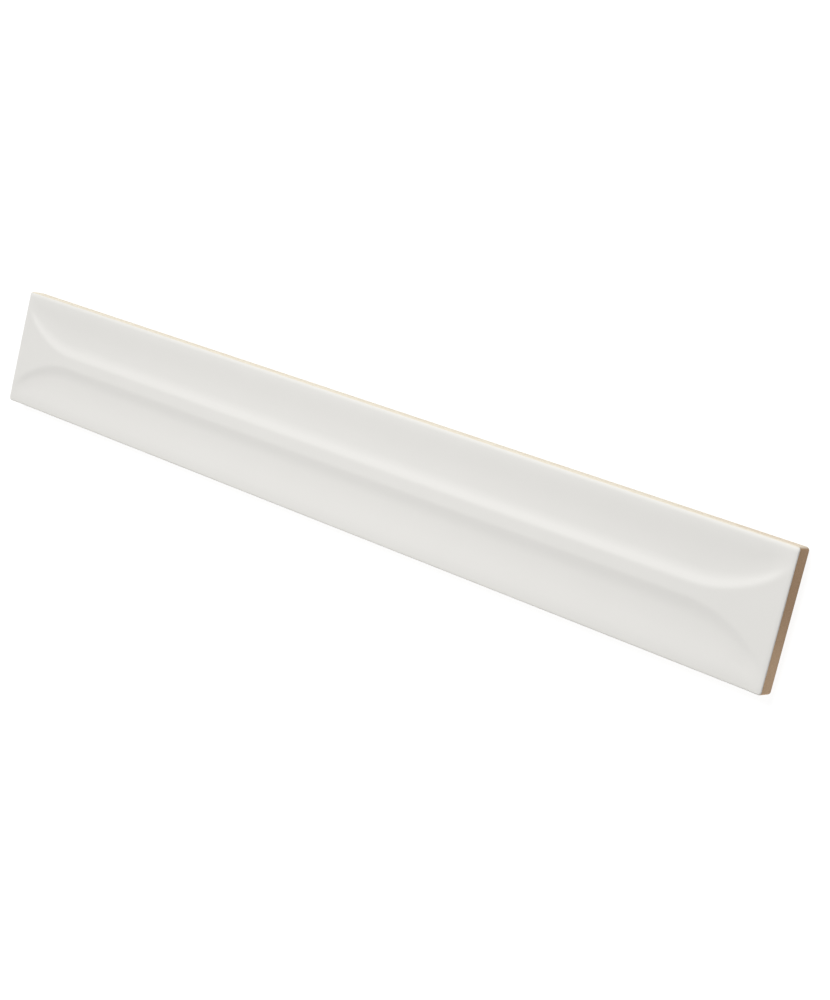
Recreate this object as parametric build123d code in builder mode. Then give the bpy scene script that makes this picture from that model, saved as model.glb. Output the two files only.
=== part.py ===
from build123d import *
from math import acos, cos, degrees, floor, radians, sin, tan
import os

# Sizes in millimetres and degrees. The face looks along +Z, the back lies on Z = 0,
# and the long edges run along X.
length = 400.0
width = 50.0
thickness = 7.2

# Rounding of the pressed body: corners in plan, front arris, back arris.
corner_radius = 1.3
front_radius = 0.5
back_radius = 1.1

# Two hollows, one along each long edge, with a flat ridge between them. From the long edge, which
# it reaches a little below the face, the floor of a hollow falls in a plane. It then rises in a
# wide arc, a tighter cove and a short straight wall, and a rounded shoulder leads to the face.
ridge_width = 4.9
rim_drop = 0.05
floor_slope = 4.5
floor_radius = 76.0
floor_turn = 5.7
cove_radius = 18.0
wall_slope = 13.0
shoulder_radius = 8.0

# Run-out of the hollows: the edge of the plane floor turns towards the long edge in a long arc
# and then in a short one, the nose, which keeps its distance from the end of the tile.
end_radius = 60.0
nose_radius = 4.8
nose_distance = 9.0

# Keying cells pressed into the back, inside a plain border.
key_pitch = 10.0
key_rib = 2.4
key_depth = 0.5
key_border = 4.0

# The section of a hollow is drawn on its own floor, so the wall turns by both slopes.
wall_turn = floor_slope + wall_slope
floor_angle = radians(floor_slope)
wall_angle = radians(wall_turn)
arc_angle = radians(floor_turn)
wall_start = floor_radius * sin(arc_angle) + cove_radius * (sin(wall_angle) - sin(arc_angle))
wall_foot = floor_radius * (1 - cos(arc_angle)) + cove_radius * (cos(arc_angle) - cos(wall_angle))

# The plane floor takes up what the section leaves between the long edge and the ridge.
overhang = rim_drop / tan(floor_angle)
hollow_width = (width - ridge_width) / 2 + overhang
wall_reach = wall_start + (hollow_width * sin(floor_angle) - wall_foot) / tan(wall_angle)
floor_width = hollow_width * cos(floor_angle) - wall_reach

# The nose has its centre on the line where the floor comes up to the face.
end_turn = acos((end_radius - floor_width) / (end_radius - nose_radius))
nose_centre = length / 2 - nose_distance - nose_radius
straight_half = nose_centre - (end_radius - nose_radius) * sin(end_turn)

# The cutter of a hollow stands on the sloping plane of its floor, higher than the face.
floor_plane = Plane((0, width / 2 + overhang, thickness)).rotated((floor_slope, 0, 0))
cutter_height = 2 * hollow_width * sin(floor_angle)
cutter_reach = wall_start + (cutter_height - wall_foot) / tan(wall_angle)


def square_plane(x, y, turn):
    """Plane square to the edge of the floor: X leads out of the hollow, Y away from its floor."""
    along_edge = Location((x, y, 0), (0, 0, -90 - turn))
    return Plane(floor_plane.location * along_edge * Location((0, 0, 0), (90, 0, 0)))


def upright_axis(x, y):
    """Axis that stands on the floor, for turns towards the long edge."""
    return Axis(floor_plane.from_local_coords((x, y, 0)), -floor_plane.z_dir)


with BuildSketch() as section:
    with BuildLine():
        floor_arc = JernArc((0, 0), (1, 0), floor_radius, floor_turn)
        cove_arc = JernArc(floor_arc @ 1, floor_arc % 1, cove_radius, wall_turn - floor_turn)
        Polyline(cove_arc @ 1, (cutter_reach, cutter_height), (0, cutter_height), (0, 0))
    make_face()

nose_x = -nose_centre - nose_radius * sin(end_turn)
nose_y = -nose_radius * cos(end_turn)

with BuildPart() as hollow:
    with BuildSketch(floor_plane):
        with BuildLine():
            straight_edge = Line((0, -floor_width), (-straight_half, -floor_width))
            long_arc = JernArc(straight_edge @ 1, (-1, 0), end_radius, -degrees(end_turn))
            nose_arc = JernArc(long_arc @ 1, long_arc % 1, nose_radius, degrees(end_turn) - 90)
            Polyline(nose_arc @ 1, (0, 0), (0, -floor_width))
        make_face()
    extrude(amount=cutter_height)

    bend_plane = square_plane(-straight_half, -floor_width, 0)
    with BuildSketch(bend_plane):
        add(section.sketch)
    extrude(amount=-straight_half)
    with BuildSketch(bend_plane):
        add(section.sketch)
    revolve(axis=upright_axis(-straight_half, end_radius - floor_width), revolution_arc=degrees(end_turn))
    with BuildSketch(square_plane(nose_x, nose_y, degrees(end_turn))):
        add(section.sketch)
    revolve(axis=upright_axis(-nose_centre, 0), revolution_arc=90 - degrees(end_turn))
    mirror(about=Plane.YZ)

# Rows of cells come in pairs, so that a rib runs along the middle of the back.
key_columns = floor((length - 2 * key_border) / key_pitch)
key_rows = 2 * floor((width - 2 * key_border) / key_pitch / 2)
key_size = key_pitch - key_rib

with BuildPart() as tile:
    with BuildSketch():
        RectangleRounded(length, width, corner_radius)
    extrude(amount=thickness)
    fillet(tile.faces().sort_by(Axis.Z)[0].edges(), radius=back_radius)
    add(hollow.part, mode=Mode.SUBTRACT)
    mirror(hollow.part, about=Plane.XZ, mode=Mode.SUBTRACT)

    # The shoulders are the edges of the flat face that lie away from the outline of the tile.
    inner_x = length / 2 - front_radius
    inner_y = width / 2 - front_radius
    face_edges = tile.faces().filter_by(Plane.XY).sort_by(Axis.Z)[-1].edges()
    inner_edges = face_edges.filter_by_position(Axis.Y, -inner_y, inner_y)
    fillet(inner_edges.filter_by_position(Axis.X, -inner_x, inner_x), radius=shoulder_radius)

    # The front arris runs round the top of the side walls, over the hollows and the corners.
    side_walls = tile.faces().filter_by_position(Axis.Z, thickness / 4, thickness * 3 / 4)
    fillet(side_walls.edges().filter_by_position(Axis.Z, thickness * 3 / 4, thickness), radius=front_radius)

    with BuildSketch():
        with GridLocations(key_pitch, key_pitch, key_columns, key_rows):
            Rectangle(key_size, key_size)
    extrude(amount=key_depth, mode=Mode.SUBTRACT)

tile.part.label = "tile"
os.makedirs("parts", exist_ok=True)
export_step(tile.part, "parts/tile.step")
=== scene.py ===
from math import cos, radians, sin, tan

import bmesh
import bpy
import numpy as np
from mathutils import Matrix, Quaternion, Vector


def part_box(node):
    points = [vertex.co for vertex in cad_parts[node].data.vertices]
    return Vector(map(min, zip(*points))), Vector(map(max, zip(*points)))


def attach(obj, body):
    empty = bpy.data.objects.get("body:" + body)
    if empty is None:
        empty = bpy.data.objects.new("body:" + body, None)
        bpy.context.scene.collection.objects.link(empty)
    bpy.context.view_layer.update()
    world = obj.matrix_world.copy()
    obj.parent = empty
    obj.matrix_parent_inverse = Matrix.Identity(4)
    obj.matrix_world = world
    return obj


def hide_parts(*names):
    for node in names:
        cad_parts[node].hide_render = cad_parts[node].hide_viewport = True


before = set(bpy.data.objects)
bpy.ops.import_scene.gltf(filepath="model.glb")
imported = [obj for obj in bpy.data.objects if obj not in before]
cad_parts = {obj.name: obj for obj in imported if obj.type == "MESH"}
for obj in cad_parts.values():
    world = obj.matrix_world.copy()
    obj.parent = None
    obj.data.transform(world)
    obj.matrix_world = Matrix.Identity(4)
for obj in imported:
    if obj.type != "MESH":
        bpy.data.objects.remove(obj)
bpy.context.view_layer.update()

MM = 0.001

# The body, from the frame. The tile lies on its back, with the face up and the long edges along X.
tile_low, tile_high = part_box("tile")
LENGTH = tile_high[0] - tile_low[0]
WIDTH = tile_high[1] - tile_low[1]
THICKNESS = tile_high[2] - tile_low[2]
ALONG = (1, 0, 0)
ACROSS = (0, 1, 0)

# Rounding of the pressed body: corners in plan, front arris, back arris, how many faces each takes,
# and the angle up to which faces are shaded as one.
CORNER_RADIUS = 1.3 * MM
FRONT_RADIUS = 0.5 * MM
BACK_RADIUS = 1.1 * MM
CORNER_FACES = 6
FRONT_FACES = 7
BACK_FACES = 5
ROUND_PROFILE = 0.5
SMOOTH_ANGLE = radians(30)

# The two hollows: section across the tile, then the bend that leads the shoulder to each end.
RIDGE_WIDTH = 4.9 * MM
RIM_DROP = 0.05 * MM
FLOOR_SLOPE = radians(4.5)
FLOOR_RADIUS = 76.0 * MM
FLOOR_TURN = radians(5.7)
COVE_RADIUS = 18.0 * MM
WALL_SLOPE = radians(12.6)
SHOULDER_RADIUS = 6.5 * MM
BEND_RADIUS = 50.0 * MM
BEND_LENGTH = 36.3 * MM

# Close to the end of the tile the hollows run out, from this far inside it to this far past it.
RUN_OUT = 9.0 * MM
RUN_PAST = 1.5 * MM

# The fired glaze rolls softly over the rim of the hollows, between two distances from the long edge,
# and eases the outline of the face with a wide radius.
ROLL_START = 5.5 * MM
ROLL_CREST = 2.1 * MM
END_CREST = 1.6 * MM
EASE_RADIUS = 7.0 * MM

# Keying cells in the back.
KEY_PITCH = 10.0 * MM
KEY_RIB = 2.4 * MM
KEY_DEPTH = 0.5 * MM
KEY_BORDER = 4.0 * MM

# Worked out from these. The section of a hollow is drawn on its own floor, so its wall turns by both
# slopes.
WALL_TURN = FLOOR_SLOPE + WALL_SLOPE
ARC_REACH = FLOOR_RADIUS * sin(FLOOR_TURN)
ARC_RISE = FLOOR_RADIUS * (1 - cos(FLOOR_TURN))
WALL_START = ARC_REACH + COVE_RADIUS * (sin(WALL_TURN) - sin(FLOOR_TURN))
WALL_FOOT = ARC_RISE + COVE_RADIUS * (cos(FLOOR_TURN) - cos(WALL_TURN))
OVERHANG = RIM_DROP / tan(FLOOR_SLOPE)
HOLLOW_WIDTH = (WIDTH - RIDGE_WIDTH) / 2 + OVERHANG
FULL_DEPTH = HOLLOW_WIDTH * sin(FLOOR_SLOPE)
WALL_REACH = WALL_START + (FULL_DEPTH - WALL_FOOT) / tan(WALL_TURN)
BEND_START = LENGTH / 2 - BEND_LENGTH
BEND_CENTRE = RIDGE_WIDTH / 2 + BEND_RADIUS

# How finely the face is sliced before it is pressed.
END_SLICE = 0.5 * MM
MIDDLE_SLICE = 20.0 * MM
CROSS_SLICE = 0.5 * MM

# How the pressed face is worked out: rounds of fitting the section to its sloping floor, the height
# over the face up to which the wall is followed, the least rounding and the step that slopes take.
SECTION_ROUNDS = 5
WALL_TOP = 2.0 * MM
LEAST_ROUNDING = 0.0001 * MM
SLOPE_STEP = 0.05 * MM

# Points this close to a level lie in it. By the upright part of its normal, a face of the mesh is
# level, or belongs to the glazed face and its arris.
SAME_LEVEL = 0.001 * MM
LEVEL_NORMAL = 0.999
LEAST_NORMAL = 0.02

# Colours of the finish: biscuit in painted shade towards the far long side and in painted light towards
# the near one, the same darker for its specks and for the painted shade at its foot, then the glaze in
# two tones where it pools, with painted light on walls and a painted highlight on rims, and as a film
# on the long sides that is partly painted light.
BISCUIT_PAINTED_SHADE = (0.57, 0.363, 0.208, 1)
BISCUIT_PAINTED_LIGHT = (0.76, 0.52, 0.32, 1)
SPECKS_AND_FOOT_SHADE_DARK = (0.50, 0.313, 0.172, 1)
SPECKS_AND_FOOT_SHADE_PALE = (0.68, 0.455, 0.27, 1)
GLAZE_POOLED = (0.752, 0.741, 0.713, 1)
GLAZE_DRIFTED = (0.764, 0.753, 0.725, 1)
GLAZE_PAINTED_LIGHT_ON_WALLS = (0.769, 0.758, 0.730, 1)
GLAZE_PAINTED_HIGHLIGHT_ON_RIMS = (0.796, 0.783, 0.748, 1)
GLAZE_FILM_AND_PAINTED_LIGHT = (0.705, 0.64, 0.515, 1)

# Sheen of glaze and biscuit, and the height of their fine relief.
GLAZE_IOR = 1.5
GLAZE_ROUGHNESS = (0.48, 0.54)
BISCUIT_ROUGHNESS = 0.7
WAVE_HEIGHT = 0.004 * MM
GRAIN_HEIGHT = 0.05 * MM

# Patterns in the finish: how many waves to the metre, and how many finer layers lie on them.
WAVER = (220, 3)
STREAKS = (250, 4)
GRAIN = (1600, 4)
CLOUDS = (25, 3)
DRIFT = (60, 3)
WAVES = (300, 2)

# Spans over which a pattern tells.
PATTERN_SPAN = (0.3, 0.7)
GRAIN_SPAN = (0.35, 0.65)

# Spans over which a finish comes in or a tone changes, some of them for painted light and shade. The
# line of the glaze and the start of the film and its painted light on the far side waver by so much,
# and clouds shift the tone of the biscuit and its painted light by so much.
GLAZE_SPAN = (THICKNESS - 0.20 * MM, THICKNESS - 0.12 * MM)
GLAZE_WAVER = 0.2 * MM
FAR_FILM_AND_LIGHT_SPAN = (WIDTH / 2 - 0.52 * MM, WIDTH / 2 - 0.22 * MM)
FAR_FILM_AND_LIGHT_WAVER = 0.1 * MM
NEAR_FILM_AND_LIGHT_SPAN = (0.03 * MM - WIDTH / 2, 0.01 * MM - WIDTH / 2)
FILM_AND_LIGHT_FADE_SPAN = (0.2 * MM, 1.6 * MM)
FILM_AND_LIGHT_END_SPAN = (LENGTH / 2 - 60.0 * MM, LENGTH / 2)
# The painted highlight along both long edges comes in across this span.
RIM_HIGHLIGHT_SPAN = (WIDTH / 2 - 2.1 * MM, WIDTH / 2 - 0.8 * MM)
# Painted shade darkens the biscuit towards the back, up to the top of this span.
FOOT_SHADE_SPAN = (0.3 * MM, 2.8 * MM)
# The biscuit's painted light comes in across this span of Y, from the far long side towards the near
# one.
PAINTED_LIGHT_SPAN = (16.0 * MM, -14.0 * MM)
CLOUD_SHIFT = 16.0 * MM

# The film and its painted light run in upright streaks. They are this thin between them, and at one end
# of the tile.
RUN_STRETCH = (1, 1, 0.15)
FILM_AND_LIGHT_BETWEEN = 0.88
FILM_AND_LIGHT_AT_END = 0.77

# The studio paper lies a hair below the tile and glows, a little less close to it. Paper and air are
# white to the camera, and light the tile with these shares of white.
FLOOR_SIZE = 8.0
FLOOR_GAP = 0.02 * MM
GLOW_SPAN = (0.4, 1.6)
GLOW_AT_TILE = 0.92
PAPER_COLOUR = (0.18, 0.18, 0.18, 1)
PAPER_LIGHT = 0.64
AIR_COLOUR = (1, 1, 1, 1)
AIR_LIGHT = 0.14

# Lamps: places, widths and depths, and powers. All look at the middle of the tile.
KEY_PLACE = (-3.58, 7.96, 10.88)
KEY_SIZE = (6.3, 6.3)
KEY_POWER = 1538.0
SIDE_SIZE = (0.35, 0.21)
LEFT_PLACE = (0, 0.42, 0.35)
LEFT_POWER = 0.80
RIGHT_PLACE = (-0.035, -0.63, 0.294)
RIGHT_POWER = 1.323

# The camera stands where the photographer's did, looks at a point on the tile's back plane and is
# rolled about its line of sight. Lens and sensor are in millimetres.
CAMERA_PLACE = Vector((0.47680, 0.10061, 0.54637))
CAMERA_AIM = Vector((0.037180, -0.005149, 0))
CAMERA_ROLL = radians(-87.088)
CAMERA_LENS = 67.957
CAMERA_SENSOR = 36.0
CAMERA_CLIP = 0.01

# Shader nodes stand in a row, this far apart.
NODE_STEP = 200


def section_rise(past):
    """Height of the hollow's section over its floor, and its slope, this far past the floor's edge."""
    arc = np.minimum(past, ARC_REACH)
    cove = np.clip(past - ARC_REACH, 0, WALL_START - ARC_REACH) + COVE_RADIUS * sin(FLOOR_TURN)
    wall = np.maximum(past - WALL_START, 0)
    rise = FLOOR_RADIUS - np.sqrt(FLOOR_RADIUS**2 - arc**2)
    rise = rise + COVE_RADIUS * cos(FLOOR_TURN) - np.sqrt(COVE_RADIUS**2 - cove**2)
    rise = rise + wall * tan(WALL_TURN)
    in_arc = arc / np.sqrt(FLOOR_RADIUS**2 - arc**2)
    in_cove = cove / np.sqrt(COVE_RADIUS**2 - cove**2)
    return rise, np.where(past < ARC_REACH, in_arc, in_cove)


def ease(value, low, high):
    """Go smoothly from 0 to 1 while the value goes from low to high."""
    share = np.clip((value - low) / (high - low), 0, 1)
    return share**2 * (3 - 2 * share)


def floor_drop(inset):
    """How far the floor of a hollow lies below the face, this far from the long edge, and its slope."""
    fall = tan(FLOOR_SLOPE)
    roll_width = ROLL_START - ROLL_CREST
    on_roll = np.clip(inset, ROLL_CREST, ROLL_START) - ROLL_CREST
    crest_drop = (ROLL_START + OVERHANG) * fall - roll_width * fall / 2
    drop = crest_drop + fall * on_roll**2 / (2 * roll_width) + fall * np.maximum(inset - ROLL_START, 0)
    return drop, fall * on_roll / roll_width


def pressed_height(x, y):
    """How far the pressed face lies below the flat one at each point, as heights of zero or less."""
    along = np.abs(x)
    inset = WIDTH / 2 - np.abs(y)
    from_end = LENGTH / 2 - along

    # Distance inside the line of the shoulder, which is straight and then bends towards the corner.
    past_bend = np.maximum(along - BEND_START, 0)
    to_centre = BEND_CENTRE - np.abs(y)
    from_centre = np.hypot(past_bend, to_centre)
    inside = BEND_RADIUS - from_centre
    way_across = to_centre / from_centre

    # The section shrinks with the depth at its shoulder, so the wall stays steep along the bend.
    drop, floor_lean = floor_drop(inset)
    shoulder_drop = floor_drop(inset + inside * way_across)[0]
    share = np.minimum(shoulder_drop * cos(FLOOR_SLOPE) / FULL_DEPTH, 1)
    height = -drop
    for _ in range(SECTION_ROUNDS):
        past = share * WALL_REACH - inside * cos(FLOOR_SLOPE) - height * sin(FLOOR_SLOPE)
        rise, lean = section_rise(np.maximum(past, 0) / share)
        height = np.minimum(share * rise / cos(FLOOR_SLOPE) - drop, WALL_TOP)

    # The shoulder is rounded where the wall meets the flat face.
    slope = np.hypot(lean * past_bend / from_centre, lean * way_across - floor_lean)
    rounding = np.maximum(SHOULDER_RADIUS * slope**2 / 2, LEAST_ROUNDING)
    pressed = np.minimum(height, 0) - np.maximum(rounding - np.abs(height), 0) ** 2 / (4 * rounding)
    pressed = pressed * ease(from_end, -RUN_PAST, RUN_OUT)

    # The glaze eases the outline of the face.
    pressed = pressed - np.maximum(END_CREST - from_end, 0) ** 2 / (2 * EASE_RADIUS)
    return pressed - np.maximum(ROLL_CREST - inset, 0) ** 2 / (2 * EASE_RADIUS)


def select_only(piece, kind, test):
    """Select in edit mode only the faces or edges that pass the test."""
    bpy.ops.mesh.select_mode(type="FACE" if kind == "faces" else "EDGE")
    bpy.ops.mesh.select_all(action="DESELECT")
    mesh = bmesh.from_edit_mesh(piece.data)
    for element in getattr(mesh, kind):
        if test(element):
            element.select_set(True)
    mesh.select_flush_mode()
    bmesh.update_edit_mesh(piece.data)


def round_edges(piece, test, radius, faces):
    """Round in edit mode the edges that pass the test."""
    select_only(piece, "edges", test)
    bpy.ops.mesh.bevel(offset=radius, segments=faces, profile=ROUND_PROFILE, affect="EDGES")


def show_only(piece, test):
    """Hide in edit mode all faces but those that pass the test."""
    select_only(piece, "faces", test)
    bpy.ops.mesh.hide(unselected=True)


def slice_shown(places, direction):
    """Cut all that is shown with planes at these places along one axis."""
    for place in places:
        bpy.ops.mesh.select_all(action="SELECT")
        bpy.ops.mesh.bisect(plane_co=Vector(direction) * place, plane_no=direction)


def both_ways(places):
    """The same places on both sides of the middle."""
    return sorted({side * place for place in places for side in (-1, 1)})


def centred(count, pitch):
    """Places of a row about the middle."""
    return [(i - (count - 1) / 2) * pitch for i in range(count)]


def upright(edge):
    """A test for edges that go from the back to the face."""
    return abs(edge.verts[0].co.z - edge.verts[1].co.z) > THICKNESS / 2


def edge_on(height):
    """A test for edges that lie in one level plane."""
    return lambda edge: all(abs(v.co.z - height) < SAME_LEVEL for v in edge.verts)


def make_blank():
    """The body before it is pressed: a block with its corners and arrises rounded."""
    bpy.ops.object.select_all(action="DESELECT")
    bpy.ops.mesh.primitive_cube_add(
        size=1, location=(0, 0, THICKNESS / 2), scale=(LENGTH, WIDTH, THICKNESS)
    )
    blank = bpy.context.object
    blank.name = "glazed_tile"
    bpy.ops.object.transform_apply(location=True, rotation=True, scale=True)
    bpy.ops.object.mode_set(mode="EDIT")
    round_edges(blank, upright, CORNER_RADIUS, CORNER_FACES)
    round_edges(blank, edge_on(0), BACK_RADIUS, BACK_FACES)
    round_edges(blank, edge_on(THICKNESS), FRONT_RADIUS, FRONT_FACES)
    bpy.ops.object.mode_set(mode="OBJECT")
    return blank


def press_keys(tile):
    """Cut the back along the ribs and push the keying cells in. Their rows come in pairs."""
    columns = centred(int((LENGTH - 2 * KEY_BORDER) / KEY_PITCH), KEY_PITCH)
    rows = centred(2 * int((WIDTH - 2 * KEY_BORDER) / KEY_PITCH / 2), KEY_PITCH)
    cell = KEY_PITCH - KEY_RIB

    def in_cell(face):
        centre = face.calc_center_median()
        near_column = min(abs(centre.x - place) for place in columns)
        near_row = min(abs(centre.y - place) for place in rows)
        return not face.hide and max(near_column, near_row) < cell / 4

    bpy.ops.object.mode_set(mode="EDIT")
    show_only(tile, lambda face: face.normal.z < -LEVEL_NORMAL)
    for places, direction in ((columns, ALONG), (rows, ACROSS)):
        slice_shown([place + side * cell / 2 for place in places for side in (-1, 1)], direction)
    select_only(tile, "faces", in_cell)
    bpy.ops.mesh.extrude_region_move(TRANSFORM_OT_translate={"value": (0, 0, KEY_DEPTH)})
    bpy.ops.mesh.reveal(select=False)
    bpy.ops.object.mode_set(mode="OBJECT")


def slice_face(tile):
    """Slice the face and its arris, finely across it and at the ends, where the hollows bend."""
    end_place = LENGTH / 2 - CORNER_RADIUS
    end_zone = BEND_START - SHOULDER_RADIUS
    end_count = int((end_place - end_zone) / END_SLICE)
    middle_count = int(end_zone / MIDDLE_SLICE)
    along_places = [end_place - i * END_SLICE for i in range(end_count)]
    along_places += [(i + 0.5) * end_zone / middle_count for i in range(middle_count)]
    cross_place = WIDTH / 2 - CORNER_RADIUS
    cross_count = int(cross_place / CROSS_SLICE)
    cross_places = [cross_place * i / cross_count for i in range(cross_count + 1)]
    cross_places += [WIDTH / 2 - (CORNER_RADIUS + FRONT_RADIUS) / 2]

    def on_face(face):
        return face.normal.z > LEAST_NORMAL and face.calc_center_median().z > THICKNESS / 2

    bpy.ops.object.mode_set(mode="EDIT")
    show_only(tile, on_face)
    slice_shown(both_ways(along_places), ALONG)
    slice_shown(both_ways(cross_places), ACROSS)
    bpy.ops.mesh.reveal(select=False)
    bpy.ops.object.mode_set(mode="OBJECT")


def keep_values(piece, name, values):
    """Store a value for each point, for the finish to read."""
    attribute = piece.data.attributes.new(name, "FLOAT", "POINT")
    attribute.data.foreach_set("value", values)


def press_hollows(tile):
    """Press the hollows into the face. The rounded arris goes on from the slope beside it."""
    points = np.empty(len(tile.data.vertices) * 3)
    tile.data.vertices.foreach_get("co", points)
    x, y, z = points.reshape(-1, 3).T
    heights = pressed_height(x, y)
    heights[z < THICKNESS - FRONT_RADIUS - SAME_LEVEL] = 0
    rise_x = pressed_height(x + SLOPE_STEP, y) - pressed_height(x - SLOPE_STEP, y)
    rise_y = pressed_height(x, y + SLOPE_STEP) - pressed_height(x, y - SLOPE_STEP)
    slope = np.hypot(rise_x, rise_y) / (2 * SLOPE_STEP)
    keep_values(tile, "blank_height", z)
    keep_values(tile, "steepness", np.clip(slope / tan(WALL_SLOPE), 0, 1))

    deepest = -heights.min()
    press = tile.vertex_groups.new(name="press")
    for index, height in enumerate(heights):
        if height < 0:
            press.add([index], -height / deepest, "REPLACE")
    pressing = tile.modifiers.new("pressing", "DISPLACE")
    pressing.vertex_group = press.name
    pressing.direction = "Z"
    pressing.mid_level = 0
    pressing.strength = -deepest
    bpy.ops.object.modifier_apply(modifier=pressing.name)


def make_tile():
    """The tile in one piece: a blank with keys pressed into its back and hollows into its face."""
    tile = make_blank()
    press_keys(tile)
    slice_face(tile)
    press_hollows(tile)
    bpy.ops.object.shade_smooth_by_angle(angle=SMOOTH_ANGLE)
    return tile


def node(tree, kind, **settings):
    """Add a shader node at the end of the row, and set its properties by name."""
    new = tree.nodes.new(kind)
    new.location = (len(tree.nodes) * NODE_STEP, 0)
    for name, value in settings.items():
        setattr(new, name, value)
    return new


def feed(tree, source, socket):
    """Link a socket to an input, or set the input to a plain value."""
    if isinstance(source, bpy.types.NodeSocket):
        tree.links.new(source, socket)
    else:
        socket.default_value = source


def noise(tree, vector, pattern):
    """An uneven pattern of values about a half."""
    new = node(tree, "ShaderNodeTexNoise")
    for source, name in zip((vector, *pattern), ("Vector", "Scale", "Detail")):
        feed(tree, source, new.inputs[name])
    return new.outputs["Fac"]


def calculate(tree, operation, *sources):
    """Work one value out from others."""
    new = node(tree, "ShaderNodeMath", operation=operation)
    for source, socket in zip(sources, new.inputs):
        feed(tree, source, socket)
    return new.outputs["Value"]


def ramp(tree, value, span, results=(0, 1)):
    """Ease from one result to the other while the value goes through the span."""
    new = node(tree, "ShaderNodeMapRange", interpolation_type="SMOOTHSTEP")
    names = ("Value", "From Min", "From Max", "To Min", "To Max")
    for source, name in zip((value, *span, *results), names):
        feed(tree, source, new.inputs[name])
    return new.outputs["Result"]


def blend(tree, share, first, second):
    """Mix two colours."""
    new = node(tree, "ShaderNodeMix", data_type="RGBA")
    sockets = {socket.identifier: socket for socket in (*new.inputs, *new.outputs)}
    feed(tree, share, sockets["Factor_Float"])
    feed(tree, first, sockets["A_Color"])
    feed(tree, second, sockets["B_Color"])
    return sockets["Result_Color"]


def kept_values(tree, name):
    """The values that a piece keeps at its points under this name."""
    return node(tree, "ShaderNodeAttribute", attribute_name=name).outputs["Fac"]


def start_finish(name):
    """A new material with no nodes yet but its output: gives it, its tree and the output's surface."""
    finish = bpy.data.materials.new(name)
    finish.use_nodes = True
    tree = finish.node_tree
    tree.nodes.clear()
    return finish, tree, node(tree, "ShaderNodeOutputMaterial").inputs["Surface"]


def film_and_light_cover(tree, place, axes, waver):
    """Where a thin film of glaze covers the long sides, on the far one from the arris on, where it is
    also painted light on the lit side.

    It runs in streaks, fades towards the back and gets thinner at one end.
    """
    uneven = calculate(tree, "MULTIPLY_ADD", waver, FAR_FILM_AND_LIGHT_WAVER, axes["Y"])
    far_side = ramp(tree, uneven, FAR_FILM_AND_LIGHT_SPAN)
    near_side = ramp(tree, axes["Y"], NEAR_FILM_AND_LIGHT_SPAN)
    runs = node(tree, "ShaderNodeMapping")
    feed(tree, place, runs.inputs["Vector"])
    feed(tree, RUN_STRETCH, runs.inputs["Scale"])
    streaks = noise(tree, runs.outputs["Vector"], STREAKS)
    streaky = ramp(tree, streaks, PATTERN_SPAN, (FILM_AND_LIGHT_BETWEEN, 1))
    fading = ramp(tree, axes["Z"], FILM_AND_LIGHT_FADE_SPAN)
    thinner = ramp(tree, axes["X"], FILM_AND_LIGHT_END_SPAN, (1, FILM_AND_LIGHT_AT_END))
    film_and_light = calculate(tree, "MAXIMUM", far_side, near_side)
    for share in (streaky, fading, thinner):
        film_and_light = calculate(tree, "MULTIPLY", film_and_light, share)
    return film_and_light


def biscuit_colour(tree, place, axes, grain):
    """Fine grain in a clouded tone, with painted light that makes it paler towards the near long side
    and painted shade that darkens it towards the back.
    """
    clouds = noise(tree, place, CLOUDS)
    # Painted light: the biscuit is paler towards the near long side, and clouds make the change uneven.
    across_with_clouds = calculate(tree, "MULTIPLY_ADD", clouds, CLOUD_SHIFT, axes["Y"])
    painted_light = ramp(tree, across_with_clouds, PAINTED_LIGHT_SPAN)
    plain = blend(tree, painted_light, BISCUIT_PAINTED_SHADE, BISCUIT_PAINTED_LIGHT)
    specks_and_foot_shade = blend(tree, painted_light, SPECKS_AND_FOOT_SHADE_DARK, SPECKS_AND_FOOT_SHADE_PALE)
    speckle = ramp(tree, grain, GRAIN_SPAN)
    # Painted shade: towards the back the biscuit darkens to the colour of its specks.
    clear_of_foot_shade = ramp(tree, axes["Z"], FOOT_SHADE_SPAN)
    return blend(tree, calculate(tree, "MULTIPLY", speckle, clear_of_foot_shade), specks_and_foot_shade, plain)


def glaze_colour(tree, axes, drift):
    """A warm white with a faint drift in tone, with painted light that makes it lighter on the steep
    walls and a painted highlight along the rims.
    """
    pooled = blend(tree, drift, GLAZE_POOLED, GLAZE_DRIFTED)
    steep = kept_values(tree, "steepness")
    # Painted light: the glaze is lighter where the face is steep, on the walls of the hollows.
    painted_light_on_walls = calculate(tree, "MULTIPLY", steep, steep)
    glaze = blend(tree, painted_light_on_walls, pooled, GLAZE_PAINTED_LIGHT_ON_WALLS)
    # Painted highlight: the glaze is lighter along the rims of both long edges.
    across = calculate(tree, "ABSOLUTE", axes["Y"])
    return blend(tree, ramp(tree, across, RIM_HIGHLIGHT_SPAN), glaze, GLAZE_PAINTED_HIGHLIGHT_ON_RIMS)


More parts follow.
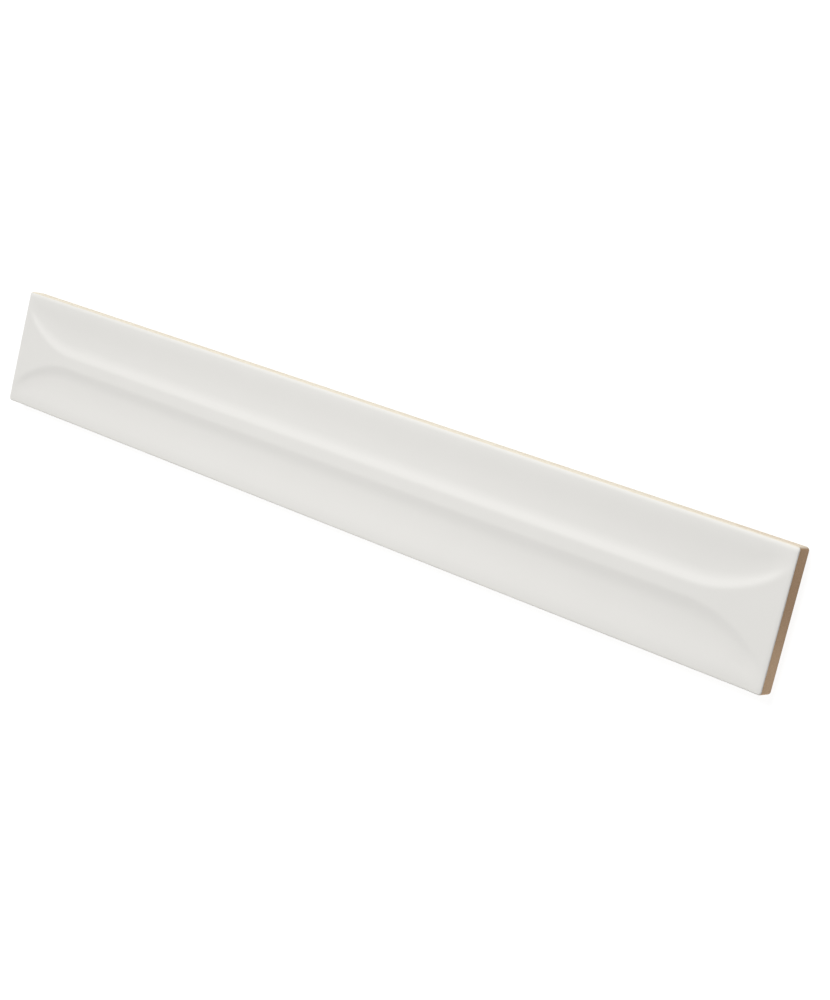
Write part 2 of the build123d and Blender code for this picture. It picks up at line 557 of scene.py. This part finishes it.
def make_tile_finish():
    """Satin glaze on the face, down to an uneven line low on the arris, and bare biscuit below."""
    finish, tree, output = start_finish("satin_glaze_on_biscuit")
    place = node(tree, "ShaderNodeTexCoord").outputs["Object"]
    split = node(tree, "ShaderNodeSeparateXYZ")
    feed(tree, place, split.inputs["Vector"])
    axes = split.outputs
    waver = noise(tree, place, WAVER)
    grain = noise(tree, place, GRAIN)
    drift = noise(tree, place, DRIFT)

    line = calculate(tree, "MULTIPLY_ADD", waver, GLAZE_WAVER, kept_values(tree, "blank_height"))
    glazed = ramp(tree, line, GLAZE_SPAN)
    # The film is partly painted light on the far, lit long side.
    film_and_light = film_and_light_cover(tree, place, axes, waver)
    cover = calculate(tree, "MAXIMUM", glazed, film_and_light)

    biscuit = biscuit_colour(tree, place, axes, grain)
    colour = blend(tree, glazed, biscuit, glaze_colour(tree, axes, drift))
    colour = blend(tree, film_and_light, colour, GLAZE_FILM_AND_PAINTED_LIGHT)
    satin = ramp(tree, drift, PATTERN_SPAN, GLAZE_ROUGHNESS)
    roughness = ramp(tree, cover, (0, 1), (BISCUIT_ROUGHNESS, satin))

    # The glaze has a faint waviness, the bare biscuit a fine grain.
    waves = calculate(tree, "MULTIPLY", noise(tree, place, WAVES), WAVE_HEIGHT)
    grit = calculate(tree, "MULTIPLY", grain, GRAIN_HEIGHT)
    relief = node(tree, "ShaderNodeBump")
    feed(tree, 1, relief.inputs["Strength"])
    feed(tree, 1, relief.inputs["Distance"])
    feed(tree, ramp(tree, cover, (0, 1), (grit, waves)), relief.inputs["Height"])

    surface = node(tree, "ShaderNodeBsdfPrincipled")
    feed(tree, GLAZE_IOR, surface.inputs["IOR"])
    feed(tree, colour, surface.inputs["Base Color"])
    feed(tree, roughness, surface.inputs["Roughness"])
    feed(tree, relief.outputs["Normal"], surface.inputs["Normal"])
    feed(tree, surface.outputs["BSDF"], output)
    return finish


def white_when_seen(tree, dim):
    """A strength of 1 for what the camera sees, also mirrored or through glass, and dim otherwise."""
    path = node(tree, "ShaderNodeLightPath").outputs
    seen = calculate(tree, "MAXIMUM", path["Is Camera Ray"], path["Is Glossy Ray"])
    seen = calculate(tree, "MAXIMUM", seen, path["Is Transmission Ray"])
    return calculate(tree, "MULTIPLY_ADD", seen, 1 - dim, dim)


def make_paper():
    """White paper that glows, and a little less near the tile, where the shadow falls on it."""
    paper, tree, output = start_finish("studio_paper")
    matt = node(tree, "ShaderNodeBsdfDiffuse")
    feed(tree, PAPER_COLOUR, matt.inputs["Color"])
    distance = node(tree, "ShaderNodeVectorMath", operation="LENGTH")
    feed(tree, node(tree, "ShaderNodeTexCoord").outputs["Object"], distance.inputs["Vector"])
    near = ramp(tree, distance.outputs["Value"], GLOW_SPAN, (GLOW_AT_TILE, 1))
    strength = calculate(tree, "MULTIPLY", near, white_when_seen(tree, PAPER_LIGHT))
    glow = node(tree, "ShaderNodeEmission")
    feed(tree, strength, glow.inputs["Strength"])
    lit = node(tree, "ShaderNodeAddShader")
    for source, socket in zip((matt.outputs["BSDF"], glow.outputs["Emission"]), lit.inputs):
        feed(tree, source, socket)

    # From below the paper is clear, so the back of the tile can be seen.
    below = node(tree, "ShaderNodeNewGeometry").outputs["Backfacing"]
    clear = node(tree, "ShaderNodeBsdfTransparent").outputs["BSDF"]
    either = node(tree, "ShaderNodeMixShader")
    for source, socket in zip((below, lit.outputs["Shader"], clear), either.inputs):
        feed(tree, source, socket)
    feed(tree, either.outputs["Shader"], output)
    return paper


def make_floor():
    """The studio floor under the tile."""
    bpy.ops.object.select_all(action="DESELECT")
    bpy.ops.mesh.primitive_plane_add(size=FLOOR_SIZE, location=(0, 0, -FLOOR_GAP))
    floor = bpy.context.object
    floor.name = "studio_floor"
    floor.data.materials.append(make_paper())


def make_air():
    """The white room around the floor."""
    world = bpy.data.worlds.new("studio")
    bpy.context.scene.world = world
    world.use_nodes = True
    tree = world.node_tree
    air = tree.nodes["Background"]
    feed(tree, AIR_COLOUR, air.inputs["Color"])
    feed(tree, white_when_seen(tree, AIR_LIGHT), air.inputs["Strength"])


def make_lamp(name, place, size, power):
    """A lamp that looks at the middle of the tile."""
    lamp = bpy.data.lights.new(name, "AREA")
    lamp.shape = "RECTANGLE"
    lamp.size, lamp.size_y = size
    lamp.energy = power
    holder = bpy.data.objects.new(name, lamp)
    bpy.context.collection.objects.link(holder)
    holder.location = place
    holder.visible_camera = False
    holder.rotation_euler = Vector(place).to_track_quat("Z", "Y").to_euler()


def make_camera():
    """The camera, whose own Z axis points away from what it looks at."""
    camera = bpy.data.objects.new("camera", bpy.data.cameras.new("camera"))
    bpy.context.collection.objects.link(camera)
    camera.location = CAMERA_PLACE
    level = (CAMERA_PLACE - CAMERA_AIM).to_track_quat("Z", "Y")
    camera.rotation_euler = (level @ Quaternion((0, 0, 1), CAMERA_ROLL)).to_euler()
    camera.data.lens = CAMERA_LENS
    camera.data.sensor_width = CAMERA_SENSOR
    camera.data.clip_start = CAMERA_CLIP
    bpy.context.scene.camera = camera


tile = make_tile()
tile.data.materials.append(make_tile_finish())
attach(tile, "root")
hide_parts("tile")

make_floor()
make_air()
make_lamp("key", KEY_PLACE, KEY_SIZE, KEY_POWER)
make_lamp("side_left", LEFT_PLACE, SIDE_SIZE, LEFT_POWER)
make_lamp("side_right", RIGHT_PLACE, SIDE_SIZE, RIGHT_POWER)
make_camera()
bpy.context.scene.view_settings.view_transform = "Standard"
